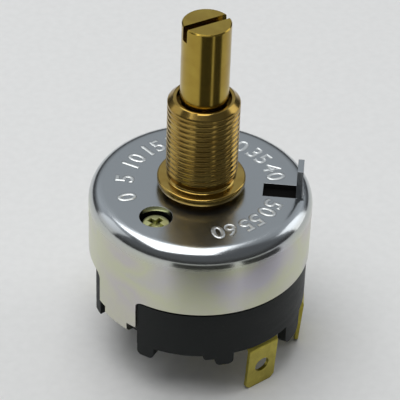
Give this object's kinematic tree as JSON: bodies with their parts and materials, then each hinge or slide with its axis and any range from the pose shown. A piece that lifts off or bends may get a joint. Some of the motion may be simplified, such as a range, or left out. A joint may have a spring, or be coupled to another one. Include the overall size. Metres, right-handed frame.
{
  "type": "rotary switch",
  "caption": "Panel-mount rotary switch: round steel cover with locating tab, threaded brass bushing, slotted shaft, black base and blade terminals.",
  "frame": {"origin": "centre of the cover's flat top face, on the shaft's axis", "axes": "+Z along the shaft towards its slotted end, +X towards the locating tab"},
  "size_m": [0.03, 0.03, 0.0509],
  "materials": {
    "cover_plate": "zinc-plated drawn steel with a faint yellow and violet passivation, satin",
    "bushing_brass": "turned brass, bright with fine tool marks",
    "shaft_brass": "ground brass bar, bright",
    "terminal_brass": "blanked brass strip, satin",
    "screw_plate": "yellow zinc-plated steel",
    "steel": "plain steel",
    "ball_steel": "polished ball",
    "spring_steel": "spring wire and strip",
    "copper": "copper strip",
    "silver": "silver contact buttons",
    "contact_metal": "tinned contact rivets",
    "base_moulding": "black phenolic moulding, satin",
    "rotor_plastic": "natural moulded plastic",
    "fibre": "black fibre sheet"
  },
  "bodies": {
    "housing": {"cover": "cover_plate", "insulator": "fibre", "index_plate": "steel", "bushing": "bushing_brass", "base": "base_moulding", "plate_screw": "screw_plate", "terminal_common": "terminal_brass", "terminal_1": "terminal_brass", "terminal_2": "terminal_brass", "terminal_3": "terminal_brass", "terminal_4": "terminal_brass", "contact_common": "contact_metal", "contact_1": "contact_metal", "contact_2": "contact_metal", "contact_3": "contact_metal", "contact_4": "contact_metal", "thrust_washer": "steel"},
    "rotor_unit": {"shaft": "shaft_brass", "retaining_ring": "spring_steel", "rotor": "rotor_plastic", "detent_spring": "spring_steel", "contact_bridge": "copper", "bridge_buttons": "silver", "contact_spring": "spring_steel"},
    "ball": {"detent_ball": "ball_steel"}
  },
  "joints": [
    {"name": "shaft_turn", "type": "hinge", "parent": "housing", "child": "rotor_unit", "pos_m": [0, 0, 0], "axis": [0, 0, -1], "range_deg": [0, 200]},
    {"name": "ball_lift", "type": "slide", "parent": "rotor_unit", "child": "ball", "axis": [0, 0, 1], "range_m": [0, 0.00035], "deforming": ["detent_spring"]}
  ]
}
